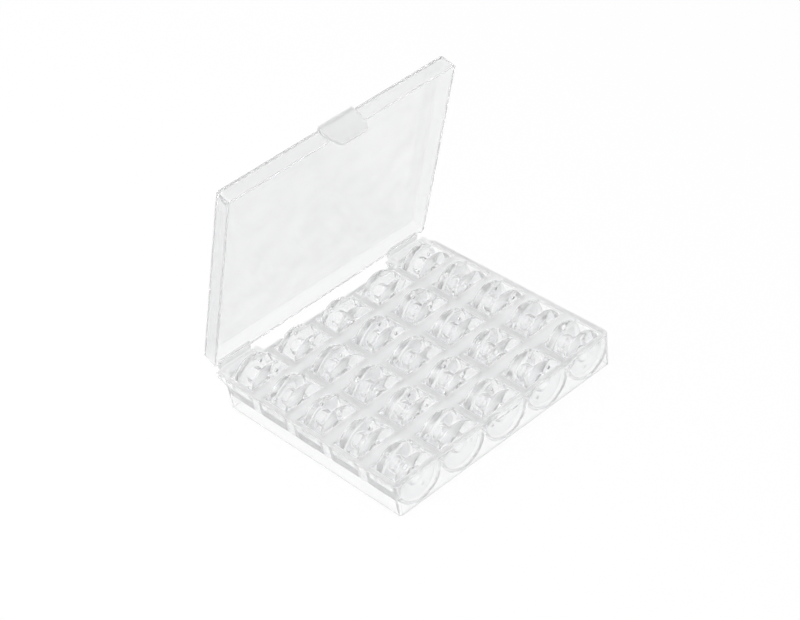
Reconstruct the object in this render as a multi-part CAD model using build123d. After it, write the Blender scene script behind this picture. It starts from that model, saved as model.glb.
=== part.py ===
"""Clear hinged storage box for sewing-machine bobbins, standing open.

Millimetres, +Z up. X runs along the hinge line, +Y is the hinge side and -Y the latch side.
The origin is the middle of the base's lower rim, which the box rests on.
"""
from build123d import *
import math
import os

# Bobbins, each standing on edge with its axis along Y
columns = 5  # along X
rows = 5  # along Y
flange_diameter = 20.3
flange_thickness = 0.9
bobbin_width = 11.7
hub_diameter = 8.0
bore_diameter = 6.1
flange_sides = 24  # what repeats has regular polygons for round edges, which keeps meshes light
hub_sides = 10
bore_sides = 8

# Pockets
bobbin_clearance = 0.65  # all round between a flange and its pocket
bobbin_end_play = 1.65  # at each end of a bobbin
bobbin_seat_gap = 0.05  # between a resting bobbin and its pocket's floor
pocket_wall = 1.6
pocket_sides = 32  # of the full circle, half of which is the pocket's floor
pocket_straight = 4.05  # height of the upright walls above the half-round floor
pocket_foot_gap = 0.55  # between the lowest pocket wall and the surface the box rests on
column_bar = 3.1  # deck between neighbouring pockets along X, whose walls merge below it
row_bar = 7.6  # deck between neighbouring pockets along Y
rim_bar = 2.3  # deck between an outer pocket and the edge of the base

# Base moulding
wall = 1.4
deck_thickness = 1.6
corner_radius = 2.5
base_draft = 2.4  # degrees, wider at the rim

# Lid moulding
lid_wall = 1.4
lid_plate = 1.4
lid_draft = 3.0  # degrees, wider at the rim
lid_headroom = 0.9  # above the bobbins with the lid shut, besides the seat gap
lid_seat_gap = 0.2  # between the two rims with the lid shut
lid_edge_bevel = 0.8
lid_open_angle = 70.0  # how far from shut the lid stands

# Hinges, with stub pins moulded on the lid's tabs and ears moulded on the base
hinge_inset = 12.5  # from an end of the box to the middle of a hinge
hinge_offset = 4.0  # axis behind the back wall at the rim
hinge_drop = 2.4  # axis below the deck
tab_width = 17.0
tab_thickness = 1.6
tab_bend_radius = 1.1  # outside of the bend from the arm to the leg
barrel_radius = 1.9
pin_radius = 1.0
pin_clearance = 0.06
ear_radius = 2.2
ear_thickness = 2.4
ear_side_gap = 0.3  # between a tab's barrel and an ear
ear_root_height = 6.5
pin_end_gap = 0.2  # the pins stop this far short of the ears' outer faces

# Latch: a tongue on the lid hangs outside the front wall, its bead under the base's catch ridge
tongue_root_width = 18.5
tongue_tip_width = 15.0
tongue_thickness = 1.4
tongue_reach = 6.0  # below the lid's rim
tongue_tip_radius = 2.5
tongue_gap = 0.9  # to the rim of the base
bead_height = 0.35
bead_width = 12.0
bead_drop = 4.9  # below the lid's rim
ridge_height = 0.4
ridge_drop = 3.4  # below the deck

# Worked out from the sizes above
flange_radius = flange_diameter / 2
pocket_radius = flange_radius + bobbin_clearance
pocket_outer_radius = pocket_radius + pocket_wall
pocket_length = bobbin_width + 2 * bobbin_end_play
pocket_outer_length = pocket_length + 2 * pocket_wall
pocket_axis_z = pocket_foot_gap + pocket_outer_radius
base_height = pocket_axis_z + pocket_straight
under_deck = base_height - deck_thickness
column_pitch = 2 * pocket_radius + column_bar
row_pitch = pocket_length + row_bar
pockets_length = columns * column_pitch - column_bar
pockets_depth = rows * row_pitch - row_bar
box_length = pockets_length + 2 * rim_bar
box_depth = pockets_depth + 2 * rim_bar
bobbin_axis_z = pocket_foot_gap + pocket_wall + bobbin_seat_gap + flange_radius
lid_rim_z = base_height + lid_seat_gap
lid_height = bobbin_axis_z + flange_radius - base_height + lid_headroom + lid_plate
hinge_x = box_length / 2 - hinge_inset
hinge_y = box_depth / 2 + hinge_offset
hinge_z = base_height - hinge_drop
ear_inner_x = tab_width / 2 + ear_side_gap
pin_length = ear_side_gap + ear_thickness - pin_end_gap


def pocket_places():
    """(row, column, x, y) of each pocket, row 1 at the latch side and column 1 at the -X end."""
    first_x = -(columns - 1) * column_pitch / 2
    first_y = -(rows - 1) * row_pitch / 2
    for row in range(rows):
        for column in range(columns):
            yield row + 1, column + 1, first_x + column * column_pitch, first_y + row * row_pitch


def tapered_block(length, depth, height, draft):
    """Block with rounded corners on the XY plane that widens upwards to length by depth."""
    top = Plane.XY.offset(height) * RectangleRounded(length, depth, corner_radius)
    return extrude(top, amount=-height, taper=draft)


def tapered_hollow(length, depth, height, draft):
    """Cavity with square corners on the XY plane that widens upwards to length by depth."""
    top = Plane.XY.offset(height) * Rectangle(length, depth)
    return extrude(top, amount=-height, taper=draft)


def along_x(profile, x, length):
    """A profile drawn with Y and Z as its axes, made solid over a length centred on x."""
    return extrude(Plane.YZ.offset(x - length / 2) * profile, amount=length)


def pocket_form(radius, length):
    """The half-round trough of a pocket up to the deck's top, centred on its place."""
    floor = Pos(0, pocket_axis_z) * RegularPolygon(radius, pocket_sides)
    floor &= Pos(0, pocket_axis_z - radius / 2) * Rectangle(2 * radius, radius)
    upright = Pos(0, pocket_axis_z + pocket_straight / 2) * Rectangle(2 * radius, pocket_straight)
    return extrude(Plane.XZ * (floor + upright), amount=length / 2, both=True)


def hinge_ears(x):
    """The two ears of one hinge, bored for the lid's stub pins."""
    root_y = box_depth / 2 - wall / 2
    root = Pos(root_y, base_height - ear_root_height / 2) * Rectangle(wall / 2, ear_root_height)
    eye = Pos(hinge_y, hinge_z) * Circle(ear_radius)
    outline = make_hull((root + eye).edges())
    outline -= Pos(hinge_y, hinge_z) * Circle(pin_radius + pin_clearance)
    middle = ear_inner_x + ear_thickness / 2
    return [along_x(outline, x + side * middle, ear_thickness) for side in (-1, 1)]


def catch_ridge():
    """Low half-round ridge across the middle of the front wall."""
    lean = ridge_drop * math.tan(math.radians(base_draft))
    wall_y = -box_depth / 2 + lean
    return along_x(Pos(wall_y, base_height - ridge_drop) * Circle(ridge_height), 0, bead_width)


def base_moulding():
    """Skirt, deck, pockets, hinge ears and catch ridge, as they are moulded in one."""
    step = 2 * (wall + deck_thickness * math.tan(math.radians(base_draft)))
    hollow = tapered_hollow(box_length - step, box_depth - step, under_deck, base_draft)
    shell = pocket_form(pocket_outer_radius, pocket_outer_length)
    trough = pocket_form(pocket_radius, pocket_length)
    hollow -= [Pos(x, y) * shell for _, _, x, y in pocket_places()]
    tray = tapered_block(box_length, box_depth, base_height, base_draft) - hollow
    tray -= [Pos(x, y) * trough for _, _, x, y in pocket_places()]
    return tray + hinge_ears(-hinge_x) + hinge_ears(hinge_x) + catch_ridge()


def base_pieces():
    """The base's moulding, divided into its frame and the rows of pockets that hang below it."""
    moulding = base_moulding()
    core = Pos(0, 0, under_deck / 2) * Box(pockets_length, pockets_depth, under_deck)
    pieces = {"base_frame": moulding - core}
    pocket_rows = (moulding & core).solids().sort_by(Axis.Y)
    for row, pockets in enumerate(pocket_rows, 1):
        pieces[f"pocket_row_{row}"] = pockets
    return pieces


def hinge_tab(x):
    """One tab of the lid: out from the rim, down to the hinge axis, with a stub pin at each end."""
    root_y = box_depth / 2 - lid_wall / 2
    arm_end = hinge_y + tab_thickness / 2
    arm_z = lid_rim_z + tab_thickness / 2
    arm = Pos((root_y + arm_end) / 2, arm_z) * Rectangle(arm_end - root_y, tab_thickness)
    leg_top = lid_rim_z + tab_thickness
    leg = Pos(hinge_y, (hinge_z + leg_top) / 2) * Rectangle(tab_thickness, leg_top - hinge_z)
    barrel = Pos(hinge_y, hinge_z) * Circle(barrel_radius)
    outline = arm + leg + barrel
    corner = outline.vertices().sort_by(lambda v: v.X + v.Y)[-1]
    outline = fillet(corner, tab_bend_radius)
    pin = Pos(hinge_y, hinge_z) * Circle(pin_radius)
    return along_x(outline, x, tab_width) + along_x(pin, x, tab_width + 2 * pin_length)


def latch_tongue():
    """Strap down the lid's front wall that reaches past the rim, with a bead inside its tip."""
    top_z = lid_rim_z + lid_height - lid_edge_bevel
    tip_z = lid_rim_z - tongue_reach
    outer_y = -box_depth / 2 - tongue_gap - tongue_thickness
    strap = Polyline(
        (-tongue_root_width / 2, top_z),
        (tongue_root_width / 2, top_z),
        (tongue_root_width / 2, lid_rim_z),
        (tongue_tip_width / 2, tip_z),
        (-tongue_tip_width / 2, tip_z),
        (-tongue_root_width / 2, lid_rim_z),
        close=True,
    )
    face = make_face(strap)
    face = fillet(face.vertices().sort_by(Axis.Y)[:2], tongue_tip_radius)
    inner_y = -box_depth / 2 - tongue_gap
    tongue = extrude(Plane.XZ.offset(-inner_y) * face, amount=tongue_thickness)
    lean = lid_height * math.tan(math.radians(lid_draft))
    root_depth = tongue_gap + lean + lid_wall / 2
    root_height = top_z - lid_rim_z
    root_y = inner_y + root_depth / 2
    tongue += Pos(0, root_y, lid_rim_z + root_height / 2) * Box(
        tongue_root_width, root_depth, root_height
    )
    bead = Pos(inner_y, lid_rim_z - bead_drop) * Circle(bead_height)
    return tongue + along_x(bead, 0, bead_width)


def lid():
    """Plate, skirt, hinge tabs and latch tongue in one moulding, turned open about the hinges."""
    turned = Pos(0, 0, lid_rim_z) * Rot(180, 0, 0)
    cover = turned * Pos(0, 0, -lid_height) * tapered_block(
        box_length, box_depth, lid_height, lid_draft
    )
    cover = chamfer(cover.faces().sort_by(Axis.Z)[-1].edges(), lid_edge_bevel)
    hollow_height = lid_height - lid_plate
    cover -= turned * Pos(0, 0, -hollow_height) * tapered_hollow(
        box_length - 2 * lid_wall, box_depth - 2 * lid_wall, hollow_height, lid_draft
    )
    cover += [hinge_tab(-hinge_x), hinge_tab(hinge_x), latch_tongue()]
    hinge_line = Axis((0, hinge_y, hinge_z), (1, 0, 0))
    return cover.rotate(hinge_line, -lid_open_angle)


def bobbin():
    """Two flanges on a bored hub, its axis along Y and its middle at the origin."""
    disc = RegularPolygon(flange_radius, flange_sides)
    hub = RegularPolygon(hub_diameter / 2, hub_sides)
    bore = RegularPolygon(bore_diameter / 2, bore_sides)
    spool = extrude(Plane.XZ * hub, amount=bobbin_width / 2, both=True)
    for side in (-1, 1):
        outer = Plane.XZ.offset(side * bobbin_width / 2)
        spool += extrude(outer * disc, amount=-side * flange_thickness)
    return spool - extrude(Plane.XZ * bore, amount=bobbin_width, both=True)


def main():
    os.makedirs("parts", exist_ok=True)
    pieces = base_pieces()
    pieces["lid"] = lid()
    spool = bobbin()
    for row, column, x, y in pocket_places():
        pieces[f"bobbin_r{row}c{column}"] = Pos(x, y, bobbin_axis_z) * spool
    for name, piece in pieces.items():
        export_step(piece, f"parts/{name}.step")


main()
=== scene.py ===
import math

import bmesh
import bpy
from mathutils import Matrix, Vector
from mathutils.geometry import convex_hull_2d


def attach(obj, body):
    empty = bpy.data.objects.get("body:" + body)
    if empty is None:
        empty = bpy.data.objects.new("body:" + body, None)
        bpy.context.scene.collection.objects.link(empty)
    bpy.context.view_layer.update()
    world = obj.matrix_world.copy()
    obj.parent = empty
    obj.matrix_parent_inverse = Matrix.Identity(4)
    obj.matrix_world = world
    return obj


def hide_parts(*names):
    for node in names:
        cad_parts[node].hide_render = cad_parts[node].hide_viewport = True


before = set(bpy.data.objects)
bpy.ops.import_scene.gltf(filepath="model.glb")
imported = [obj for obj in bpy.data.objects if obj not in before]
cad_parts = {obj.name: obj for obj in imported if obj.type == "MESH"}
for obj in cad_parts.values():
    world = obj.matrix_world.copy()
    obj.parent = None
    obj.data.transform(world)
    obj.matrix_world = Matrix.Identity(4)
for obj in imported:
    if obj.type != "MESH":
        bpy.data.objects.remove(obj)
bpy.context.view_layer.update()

MM = 0.001

# Base moulding, in millimetres from the middle of the rim that the box stands on
PITCH_X, PITCH_Y = 24.7, 22.6
COLUMNS = [-2 * PITCH_X + PITCH_X * i for i in range(5)]
ROWS = [-2 * PITCH_Y + PITCH_Y * i for i in range(5)]
LENGTH, DEPTH, HEIGHT = 125.0, 110.0, 17.0
UNDER_DECK = 15.4
WALL = 1.4
BASE_DRAFT = math.tan(math.radians(2.4))
CORNER_R = 2.5
INNER_CORNER_R = (0.35, 0.9)  # inside the skirt, at the rim and under the deck
POCKET_AXIS = 12.95
POCKET_R, POCKET_OUT_R = 10.8, 12.4
POCKET_L, POCKET_OUT_L = 15.0, 18.2
EDGE_ROUNDING = 0.15
SHORTEST_ROUNDED = 0.3  # edges shorter than this stay sharp
BASE_WELD, LID_WELD = 0.02, 0.002  # corners nearer than this become one
PAST = 1  # how far a cutter reaches past what it cuts

# Hinge ears and catch ridge
HINGE = (59.0, 14.6)  # y, z
EAR_X = (-60, -40, 40, 60)
EAR_R, EAR_HALF = 2.2, 1.2
EAR_BORE_R, EAR_BORE_HALF = 1.06, 3
EAR_ROOT_Y, EAR_ROOT_Z = (53.95, 54.65), (10.5, HEIGHT)
RIDGE = (-54.857, 13.6)  # y, z
RIDGE_R, RIDGE_HALF = 0.4, 6

# Bobbins
BOBBIN_AXIS = 12.35
FLANGE_R, HUB_R, BORE_R = 10.15, 4.0, 3.05
HALF_WIDTH, FLANGE_T = 5.85, 0.9
RIM_ROUNDING, BORE_BEVEL, HUB_FILLET = 0.22, 0.3, 0.5
MIDWAY = 0.3  # place of the middle point of a rounding, as a share of its radius
THREAD_HOLE_R, THREAD_HOLE_AT = 0.85, 6.6
SPOOL_TURNS = (20, 47, 83, 118, 161)  # degrees

# Clear plastics, with lengths in metres as the shaders have them
IOR = 1.5
SEED_SPREAD = (1, 0.37, 1.9)  # places the noise by the seed
NOISE_MIDDLE = (0.3, 0.7)  # range that most values of a noise texture lie in
CLOUDS, WEAR, RIPPLES = (60, 3), (90, 5), (45, 2)  # scale and detail of each noise
CLOUD_TINT, PALEST = (0.993, 1.004), 0.998
WEAR_ROUGHNESS = (0.8, 1.25)
RIPPLE_STRENGTH, RIPPLE_HEIGHT = 0.1, 0.0006
THROUGH_SHADOW = 0.99  # light that each surface lets through for shadow rays
ABSORPTION = (0, 0.01, 0.02, 1)
LID_OPENING = math.radians(70)  # from shut to its place in the photograph
DECK_FADE = (0.0152, 0.0160)  # z where the hazy deck with its painted shade begins
RIM_FADE = (0.0006, 0.0004)  # z where the painted contact shadow along the rim begins
GRIP_FADE = (0.0551, 0.0555)  # y off the middle of the shut lid where tongue and tabs begin

# Surroundings
FLOOR_HALF, FLOOR_Z = 3000, -0.03  # millimetres, just below the base's rim
FLOOR_COLOUR, FLOOR_GLOW = (0.9, 0.9, 0.9, 1), 0.75
WHITE = (1, 1, 1, 1)
SKY_STOPS = ((0.0, (0.75, 0.755, 0.76)), (0.75, (0.9, 0.9, 0.9)))
SOFTBOX_SIZE, SOFTBOX_POWER = (1.6, 1.2), 9
SOFTBOX_AT, SOFTBOX_AIM = (-0.7, 0.2, 1.5), (0, 0, 0.02)

# Camera fitted to the photograph
AZIMUTH, ELEVATION, ROLL = (math.radians(v) for v in (-37.45, 37.41, -9.04))
DISTANCE = 0.96777
TARGET = (0.02436, 0.03725, 0.008)
FOCAL, IMAGE_WIDTH = 2173.79, 800  # pixels
SENSOR = 36
FARTHEST = 20
BOUNCES = 64  # enough for light to cross many walls of clear plastic


# ---------------------------------------------------------------- mesh helpers


def new_object(name, data):
    """Object that is linked to the scene."""
    piece = bpy.data.objects.new(name, data)
    bpy.context.scene.collection.objects.link(piece)
    return piece


def mesh_object(name, verts, faces):
    """Mesh from points in millimetres, with its normals outwards."""
    mesh = bpy.data.meshes.new(name)
    mesh.from_pydata([Vector(v) * MM for v in verts], [], faces)
    bm = bmesh.new()
    bm.from_mesh(mesh)
    bmesh.ops.recalc_face_normals(bm, faces=bm.faces)
    bm.to_mesh(mesh)
    bm.free()
    return new_object(name, mesh)


def loft(name, loops, ring=False):
    """Solid through loops of equal length, capped at its ends or closed into a ring."""
    n = len(loops[0])
    verts = [p for loop in loops for p in loop]
    faces = []
    if not ring:
        faces = [tuple(range(n)), tuple(range(len(verts) - n, len(verts)))]
    for k in range(len(loops) if ring else len(loops) - 1):
        m = (k + 1) % len(loops)
        for i in range(n):
            j = (i + 1) % n
            faces.append((k * n + i, k * n + j, m * n + j, m * n + i))
    return mesh_object(name, verts, faces)


def rounded(length, depth, radius, z, steps=8):
    """Points round a rectangle with rounded corners."""
    points = []
    for k, (sx, sy) in enumerate(((1, 1), (-1, 1), (-1, -1), (1, -1))):
        cx, cy = sx * (length / 2 - radius), sy * (depth / 2 - radius)
        for i in range(steps + 1):
            a = math.radians(90 * k + 90 * i / steps)
            points.append((cx + radius * math.cos(a), cy + radius * math.sin(a), z))
    return points


def circle(cx, cy, radius, steps=32):
    """Points round a circle."""
    angles = (2 * math.pi * i / steps for i in range(steps))
    return [(cx + radius * math.cos(a), cy + radius * math.sin(a)) for a in angles]


def prism_y(name, outline, y0, y1):
    """Solid between two Y planes from an outline of (x, z) points."""
    return loft(name, [[(x, y, z) for x, z in outline] for y in (y0, y1)])


def prism_x(name, outline, x0, x1):
    """Solid between two X planes from an outline of (y, z) points."""
    return loft(name, [[(x, y, z) for y, z in outline] for x in (x0, x1)])


def apply(piece):
    """Applies every modifier of a piece."""
    graph = bpy.context.evaluated_depsgraph_get()
    graph.update()
    mesh = bpy.data.meshes.new_from_object(piece.evaluated_get(graph))
    piece.modifiers.clear()
    piece.data = mesh


def boolean(piece, other, operation="DIFFERENCE"):
    """Cuts the other piece out of a piece, or adds it, and removes the other."""
    modifier = piece.modifiers.new("cut", "BOOLEAN")
    modifier.object = other
    modifier.operation = operation
    modifier.solver = "MANIFOLD"
    apply(piece)
    bpy.data.objects.remove(other)


def joined(name, pieces):
    """One object from pieces that don't touch."""
    bm = bmesh.new()
    for piece in pieces:
        bm.from_mesh(piece.data)
        bpy.data.objects.remove(piece)
    mesh = bpy.data.meshes.new(name)
    bm.to_mesh(mesh)
    bm.free()
    return new_object(name, mesh)


def shade_smooth(mesh, sharpest):
    """Smooth shading but for edges sharper than the angle in degrees."""
    for polygon in mesh.polygons:
        polygon.use_smooth = True
    mesh.set_sharp_from_angle(angle=math.radians(sharpest))


def round_edges(piece, width, shortest, sharpest=50):
    """Rounds the sharp outer edges of a piece that are long enough to take it.

    The bevel isn't clamped, because a clamp stops at the shortest edge of the whole piece.
    """
    bm = bmesh.new()
    bm.from_mesh(piece.data)
    bmesh.ops.remove_doubles(bm, verts=bm.verts, dist=BASE_WELD * MM)
    weight = bm.edges.layers.float.new("bevel_weight_edge")
    for edge in bm.edges:
        long_enough = edge.calc_length() > shortest * MM
        if edge.is_convex and long_enough and edge.calc_face_angle() > math.radians(sharpest):
            edge[weight] = 1
    bm.to_mesh(piece.data)
    bm.free()
    bevel = piece.modifiers.new("edges", "BEVEL")
    bevel.width = width * MM
    bevel.segments = 2
    bevel.limit_method = "WEIGHT"
    bevel.use_clamp_overlap = False
    apply(piece)


# ---------------------------------------------------------------- shader nodes


def math_node(tree, operation, *values):
    """A Math node from sockets and numbers."""
    node = tree.nodes.new("ShaderNodeMath")
    node.operation = operation
    for i, value in enumerate(values):
        if isinstance(value, (int, float)):
            node.inputs[i].default_value = value
        else:
            tree.links.new(value, node.inputs[i])
    return node.outputs[0]


def ranged(tree, value, start, end, low, high):
    """A value taken from the range start..end to low..high."""
    node = tree.nodes.new("ShaderNodeMapRange")
    tree.links.new(value, node.inputs["Value"])
    for name, number in zip(("From Min", "From Max", "To Min", "To Max"), (start, end, low, high)):
        node.inputs[name].default_value = number
    return node.outputs["Result"]


def noise(tree, place, scale, detail):
    """Noise Texture at the given coordinates."""
    node = tree.nodes.new("ShaderNodeTexNoise")
    node.inputs["Scale"].default_value = scale
    node.inputs["Detail"].default_value = detail
    tree.links.new(place, node.inputs["Vector"])
    return node.outputs["Fac"]


def ramp(tree, value, stops):
    """Colour ramp with two stops of position and colour."""
    node = tree.nodes.new("ShaderNodeValToRGB")
    for element, (position, colour) in zip(node.color_ramp.elements, stops):
        element.position = position
        element.color = (*colour, 1)
    tree.links.new(value, node.inputs["Fac"])
    return node.outputs["Color"]


def mixed(tree, share, first, second):
    """Mix Shader that goes from the first shader to the second."""
    node = tree.nodes.new("ShaderNodeMixShader")
    tree.links.new(share, node.inputs["Fac"])
    tree.links.new(first, node.inputs[1])
    tree.links.new(second, node.inputs[2])
    return node.outputs["Shader"]


def mapped(tree, turn=(0, 0, 0), shift=(0, 0, 0)):
    """Object coordinates, turned and then shifted."""
    coords = tree.nodes.new("ShaderNodeTexCoord")
    node = tree.nodes.new("ShaderNodeMapping")
    node.inputs["Rotation"].default_value = turn
    node.inputs["Location"].default_value = shift
    tree.links.new(coords.outputs["Object"], node.inputs["Vector"])
    return node.outputs["Vector"]


def along(tree, axis, vector):
    """One coordinate of a vector."""
    split = tree.nodes.new("ShaderNodeSeparateXYZ")
    tree.links.new(vector, split.inputs["Vector"])
    return split.outputs[axis]


# ---------------------------------------------------------------- clear plastics


def haze_and_painted_shade_zone(tree):
    """1 on the base's deck and on the rim that it stands on, and 0 elsewhere: a hazier deck with
    painted shade, and a painted contact shadow along the rim.
    """
    z = along(tree, "Z", mapped(tree))
    deck = ranged(tree, z, *DECK_FADE, 0, 1)
    rim = ranged(tree, z, *RIM_FADE, 0, 1)
    return math_node(tree, "MAXIMUM", deck, rim)


def grip_zone(tree):
    """1 on the lid's latch tongue and hinge tabs, which are made darker, hazier and rougher, and 0
    elsewhere.
    """
    y, z = HINGE[0] * MM, HINGE[1] * MM
    shut_y = y * (1 - math.cos(LID_OPENING)) + z * math.sin(LID_OPENING)
    shut_lid = mapped(tree, (LID_OPENING, 0, 0), (0, shut_y, 0))
    off_middle = math_node(tree, "ABSOLUTE", along(tree, "Y", shut_lid))
    return ranged(tree, off_middle, *GRIP_FADE, 0, 1)


def clear_plastic(name, tint, clear, density, rough, seed, darker_hazier_zone=None):
    """Clear moulded plastic: gloss with faint flow ripples, a cloudy tint and a light haze.

    The last argument is (zone, share of the tint that is left, drop in clearness, rise in
    roughness) for a part that is darker, hazier and rougher; on the base the darker tint is
    painted shade.
    """
    material = bpy.data.materials.new(name)
    material.use_nodes = True
    tree = material.node_tree
    nodes, links = tree.nodes, tree.links
    nodes.clear()
    place = mapped(tree, shift=[seed * share for share in SEED_SPREAD])
    shader = nodes.new("ShaderNodeBsdfPrincipled")
    shader.inputs["IOR"].default_value = IOR

    tints = [[min(c * share, PALEST) for c in tint] for share in CLOUD_TINT]
    colour = ramp(tree, noise(tree, place, *CLOUDS), zip(NOISE_MIDDLE, tints))
    low, high = (rough * share for share in WEAR_ROUGHNESS)
    roughness = ranged(tree, noise(tree, place, *WEAR), *NOISE_MIDDLE, low, high)
    if darker_hazier_zone:
        find_zone, left, drop, rise = darker_hazier_zone
        zone = find_zone(tree)
        # darker tint in the zone: on the base's deck and rim this is painted shade
        deeper = nodes.new("ShaderNodeVectorMath")
        deeper.operation = "SCALE"
        links.new(colour, deeper.inputs["Vector"])
        links.new(ranged(tree, zone, 0, 1, 1, left), deeper.inputs["Scale"])
        colour = deeper.outputs["Vector"]
        clearness = ranged(tree, zone, 0, 1, clear, clear - drop)
        links.new(clearness, shader.inputs["Transmission Weight"])
        roughness = math_node(tree, "MULTIPLY_ADD", zone, rise, roughness)
    else:
        shader.inputs["Transmission Weight"].default_value = clear
    links.new(colour, shader.inputs["Base Color"])
    links.new(roughness, shader.inputs["Roughness"])

    bump = nodes.new("ShaderNodeBump")
    bump.inputs["Strength"].default_value = RIPPLE_STRENGTH
    bump.inputs["Distance"].default_value = RIPPLE_HEIGHT
    links.new(noise(tree, place, *RIPPLES), bump.inputs["Height"])
    links.new(bump.outputs["Normal"], shader.inputs["Normal"])

    # shadow and diffuse rays go straight through, so that the inside of the box stays bright
    through = nodes.new("ShaderNodeBsdfTransparent")
    ray = nodes.new("ShaderNodeLightPath")
    dimmed = ranged(tree, ray.outputs["Is Shadow Ray"], 0, 1, 1, THROUGH_SHADOW)
    links.new(dimmed, through.inputs["Color"])
    straight = math_node(
        tree, "MAXIMUM", ray.outputs["Is Shadow Ray"], ray.outputs["Is Diffuse Ray"]
    )
    surface = mixed(tree, straight, shader.outputs["BSDF"], through.outputs["BSDF"])
    out = nodes.new("ShaderNodeOutputMaterial")
    links.new(surface, out.inputs["Surface"])
    body = nodes.new("ShaderNodeVolumeAbsorption")
    body.inputs["Color"].default_value = ABSORPTION
    body.inputs["Density"].default_value = density
    links.new(body.outputs["Volume"], out.inputs["Volume"])
    return material


# ---------------------------------------------------------------- the base


def pocket_outline(x, steps=40):
    """Half-round trough with upright sides, as (x, z) points."""
    points = [(x + POCKET_R, HEIGHT + PAST), (x - POCKET_R, HEIGHT + PAST)]
    for i in range(steps + 1):
        a = math.pi + math.pi * i / steps
        points.append((x + POCKET_R * math.cos(a), POCKET_AXIS + POCKET_R * math.sin(a)))
    return points


def row_outline(steps=40):
    """Outside of a row of pockets, whose neighbouring walls run into each other."""
    meeting = math.acos(PITCH_X / 2 / POCKET_OUT_R)
    points = []
    for x in COLUMNS:
        start = math.pi if x == COLUMNS[0] else math.pi + meeting
        end = 2 * math.pi if x == COLUMNS[-1] else 2 * math.pi - meeting
        for i in range(1 if points else 0, steps + 1):
            a = start + (end - start) * i / steps
            z = POCKET_AXIS + POCKET_OUT_R * math.sin(a)
            points.append((x + POCKET_OUT_R * math.cos(a), z))
    right_x, left_x = points[-1][0], points[0][0]
    return points + [(right_x, HEIGHT + PAST), (left_x, HEIGHT + PAST)]


def hinge_ear(x):
    """Ear rooted in the back wall, with a bore for the lid's stub pin."""
    points = [(y, z) for z in EAR_ROOT_Z for y in EAR_ROOT_Y] + circle(*HINGE, EAR_R, steps=48)
    outline = [points[i] for i in convex_hull_2d(points)]
    ear = prism_x("ear", outline, x - EAR_HALF, x + EAR_HALF)
    bore = circle(*HINGE, EAR_BORE_R)
    boolean(ear, prism_x("hole", bore, x - EAR_BORE_HALF, x + EAR_BORE_HALF))
    return ear


def base_moulding():
    """Skirt, deck, pockets, hinge ears and catch ridge in one piece."""
    inset = HEIGHT * BASE_DRAFT
    block = loft(
        "base_moulding",
        [
            rounded(LENGTH - 2 * inset, DEPTH - 2 * inset, CORNER_R - inset, 0),
            rounded(LENGTH, DEPTH, CORNER_R, HEIGHT),
        ],
    )
    side = 2 * (WALL + (HEIGHT - UNDER_DECK) * BASE_DRAFT)
    low = 2 * BASE_DRAFT * (UNDER_DECK + PAST)
    rim_r, deck_r = INNER_CORNER_R
    hollow = loft(
        "hollow",
        [
            rounded(LENGTH - side - low, DEPTH - side - low, rim_r, -PAST, steps=3),
            rounded(LENGTH - side, DEPTH - side, deck_r, UNDER_DECK, steps=3),
        ],
    )
    outline, reach = row_outline(), POCKET_OUT_L / 2
    shells = [prism_y("row", outline, y - reach, y + reach) for y in ROWS]
    boolean(hollow, joined("shells", shells))
    boolean(block, hollow)
    reach = POCKET_L / 2
    troughs = [
        prism_y("trough", pocket_outline(x), y - reach, y + reach) for y in ROWS for x in COLUMNS
    ]
    boolean(block, joined("troughs", troughs))
    round_edges(block, EDGE_ROUNDING, SHORTEST_ROUNDED)
    for x in EAR_X:
        boolean(block, hinge_ear(x), "UNION")
    ridge = prism_x("ridge", circle(*RIDGE, RIDGE_R, steps=24), -RIDGE_HALF, RIDGE_HALF)
    boolean(block, ridge, "UNION")
    return block


# ---------------------------------------------------------------- bobbins


def bobbin_section():
    """Outline of a bobbin on one side of its axis, as (radius, y) points."""
    inner = HALF_WIDTH - FLANGE_T
    e, f = RIM_ROUNDING, HUB_FILLET
    half = [
        (BORE_R, 0.0),
        (BORE_R, HALF_WIDTH - BORE_BEVEL),
        (BORE_R + BORE_BEVEL, HALF_WIDTH),
        (FLANGE_R - e, HALF_WIDTH),
        (FLANGE_R - e * MIDWAY, HALF_WIDTH - e * MIDWAY),
        (FLANGE_R, HALF_WIDTH - e),
        (FLANGE_R, inner + e),
        (FLANGE_R - e * MIDWAY, inner + e * MIDWAY),
        (FLANGE_R - e, inner),
        (HUB_R + f, inner),
        (HUB_R + f * MIDWAY, inner - f * MIDWAY),
        (HUB_R, inner - f),
    ]
    return half + [(r, -y) for r, y in reversed(half[1:])]


def bobbin_mesh(turn, steps=72):
    """Two flanges with rounded rims on a bored hub, and two thread holes through each flange.

    turn is the angle of the thread holes in degrees.
    """
    section = bobbin_section()
    loops = []
    for k in range(steps):
        a = 2 * math.pi * k / steps
        loops.append([(r * math.cos(a), y, r * math.sin(a)) for r, y in section])
    piece = loft("bobbin", loops, ring=True)
    reach = HALF_WIDTH + PAST
    for angle in (turn, turn + 180):
        a = math.radians(angle)
        x, z = THREAD_HOLE_AT * math.cos(a), THREAD_HOLE_AT * math.sin(a)
        boolean(piece, prism_y("hole", circle(x, z, THREAD_HOLE_R, steps=20), -reach, reach))
    mesh = piece.data
    bpy.data.objects.remove(piece)
    shade_smooth(mesh, sharpest=32)
    return mesh


# ---------------------------------------------------------------- the box


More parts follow.
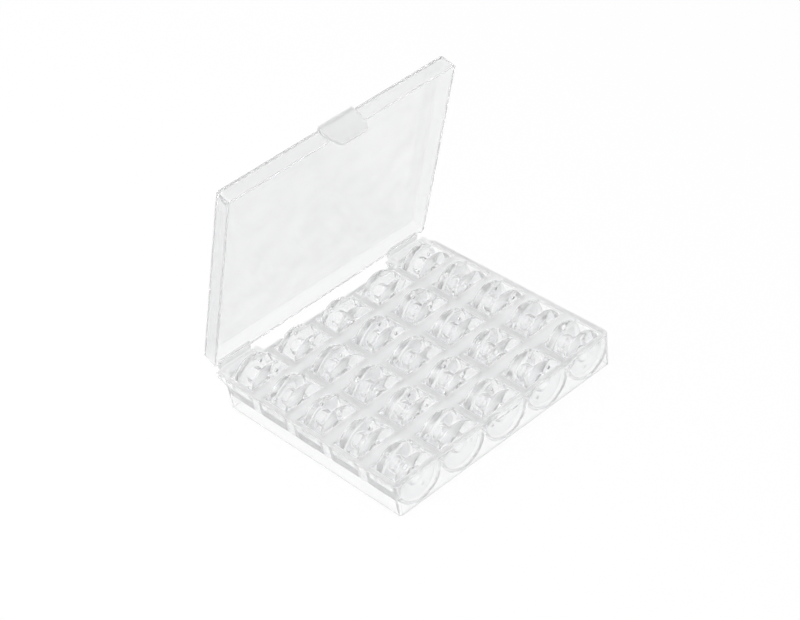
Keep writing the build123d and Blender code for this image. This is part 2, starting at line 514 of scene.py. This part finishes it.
base_plastic = clear_plastic(
    "clear_base",
    tint=(0.975, 0.978, 0.98),
    clear=0.85,
    density=6,
    rough=0.04,
    seed=1.7,
    # the deck is hazier and darkened by painted shade, and the rim is darkened by a painted
    # contact shadow
    darker_hazier_zone=(haze_and_painted_shade_zone, 0.86, 0.2, 0.25),
)
lid_plastic = clear_plastic(
    "clear_lid",
    tint=(0.935, 0.938, 0.94),
    clear=0.88,
    density=3,
    rough=0.18,
    seed=5.3,
    darker_hazier_zone=(grip_zone, 0.92, 0.1, 0.2),
)
bobbin_plastic = clear_plastic(
    "clear_bobbin", tint=(0.965, 0.968, 0.97), clear=0.92, density=3, rough=0.015, seed=9.1
)

base = base_moulding()
shade_smooth(base.data, sharpest=40)
base.modifiers.new("normals", "WEIGHTED_NORMAL").keep_sharp = True
base.data.materials.clear()
base.data.materials.append(base_plastic)
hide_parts("base_frame", *[f"pocket_row_{r}" for r in range(1, 6)])
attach(base, "base")

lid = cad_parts["lid"]
lid.data.materials.clear()
lid.data.materials.append(lid_plastic)
lid.modifiers.new("seams", "WELD").merge_threshold = LID_WELD * MM

spools = [bobbin_mesh(turn) for turn in SPOOL_TURNS]
for spool in spools:
    spool.materials.clear()
    spool.materials.append(bobbin_plastic)
for r, y in enumerate(ROWS, 1):
    for c, x in enumerate(COLUMNS, 1):
        node = f"bobbin_r{r}c{c}"
        piece = new_object(f"spool_r{r}c{c}", spools[(2 * r + c) % len(spools)])
        piece.location = Vector((x, y, BOBBIN_AXIS)) * MM
        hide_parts(node)
        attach(piece, node)


# ---------------------------------------------------------------- floor, light and camera


def background_rays(tree):
    """1 for the rays that see the plain white surround: camera, glossy and transmission rays."""
    ray = tree.nodes.new("ShaderNodeLightPath")
    seen = math_node(
        tree, "MAXIMUM", ray.outputs["Is Camera Ray"], ray.outputs["Is Transmission Ray"]
    )
    return math_node(tree, "MAXIMUM", seen, ray.outputs["Is Glossy Ray"])


def floor():
    """White floor that keeps a quarter of its shading, and so a light shadow."""
    half, z = FLOOR_HALF, FLOOR_Z
    corners = [(-half, -half, z), (half, -half, z), (half, half, z), (-half, half, z)]
    piece = mesh_object("floor", corners, [(0, 1, 2, 3)])
    material = bpy.data.materials.new("floor_white")
    material.use_nodes = True
    tree = material.node_tree
    shader = tree.nodes["Principled BSDF"]
    shader.inputs["Base Color"].default_value = FLOOR_COLOUR
    shader.inputs["Roughness"].default_value = 0.9
    shader.inputs["Specular IOR Level"].default_value = 0.0
    glow = tree.nodes.new("ShaderNodeEmission")
    glow.inputs["Color"].default_value = WHITE
    glow.inputs["Strength"].default_value = 1.0
    share = math_node(tree, "MULTIPLY", background_rays(tree), FLOOR_GLOW)
    surface = mixed(tree, share, shader.outputs["BSDF"], glow.outputs["Emission"])
    tree.links.new(surface, tree.nodes["Material Output"].inputs["Surface"])
    piece.data.materials.append(material)


def studio():
    """Soft light from all round, a little stronger from above, and one large softbox."""
    world = bpy.data.worlds.new("studio")
    bpy.context.scene.world = world
    world.use_nodes = True
    tree = world.node_tree
    tree.nodes.clear()
    coords = tree.nodes.new("ShaderNodeTexCoord")
    height = along(tree, "Z", coords.outputs["Generated"])
    around = tree.nodes.new("ShaderNodeBackground")
    tree.links.new(ramp(tree, height, SKY_STOPS), around.inputs["Color"])
    white = tree.nodes.new("ShaderNodeBackground")
    white.inputs["Color"].default_value = WHITE
    surface = mixed(
        tree, background_rays(tree), around.outputs["Background"], white.outputs["Background"]
    )
    out = tree.nodes.new("ShaderNodeOutputWorld")
    tree.links.new(surface, out.inputs["Surface"])

    lamp = bpy.data.lights.new("softbox", "AREA")
    lamp.shape = "RECTANGLE"
    lamp.size, lamp.size_y = SOFTBOX_SIZE
    lamp.energy = SOFTBOX_POWER
    box = new_object("softbox", lamp)
    box.location = SOFTBOX_AT
    box.rotation_euler = (Vector(SOFTBOX_AIM) - box.location).to_track_quat("-Z", "Y").to_euler()


def camera():
    """Camera at the photograph's place, turned about its own axis by the roll."""
    ca, sa, ce, se = math.cos(AZIMUTH), math.sin(AZIMUTH), math.cos(ELEVATION), math.sin(ELEVATION)
    back = Vector((sa * ce, -ca * ce, se))
    right = Vector((ca, sa, 0))
    up = back.cross(right)
    c, s = math.cos(ROLL), math.sin(ROLL)
    right, up = c * right + s * up, -s * right + c * up
    data = bpy.data.cameras.new("camera")
    data.sensor_fit = "HORIZONTAL"
    data.sensor_width = SENSOR
    data.lens = FOCAL / IMAGE_WIDTH * SENSOR
    data.clip_end = FARTHEST
    view = new_object("camera", data)
    place = Matrix((right, up, back)).transposed().to_4x4()
    place.translation = Vector(TARGET) + back * DISTANCE
    view.matrix_world = place
    bpy.context.scene.camera = view


floor()
studio()
camera()

scene = bpy.context.scene
scene.view_settings.view_transform = "Standard"
scene.cycles.max_bounces = BOUNCES
scene.cycles.transmission_bounces = BOUNCES
scene.cycles.glossy_bounces = BOUNCES
scene.cycles.transparent_max_bounces = BOUNCES
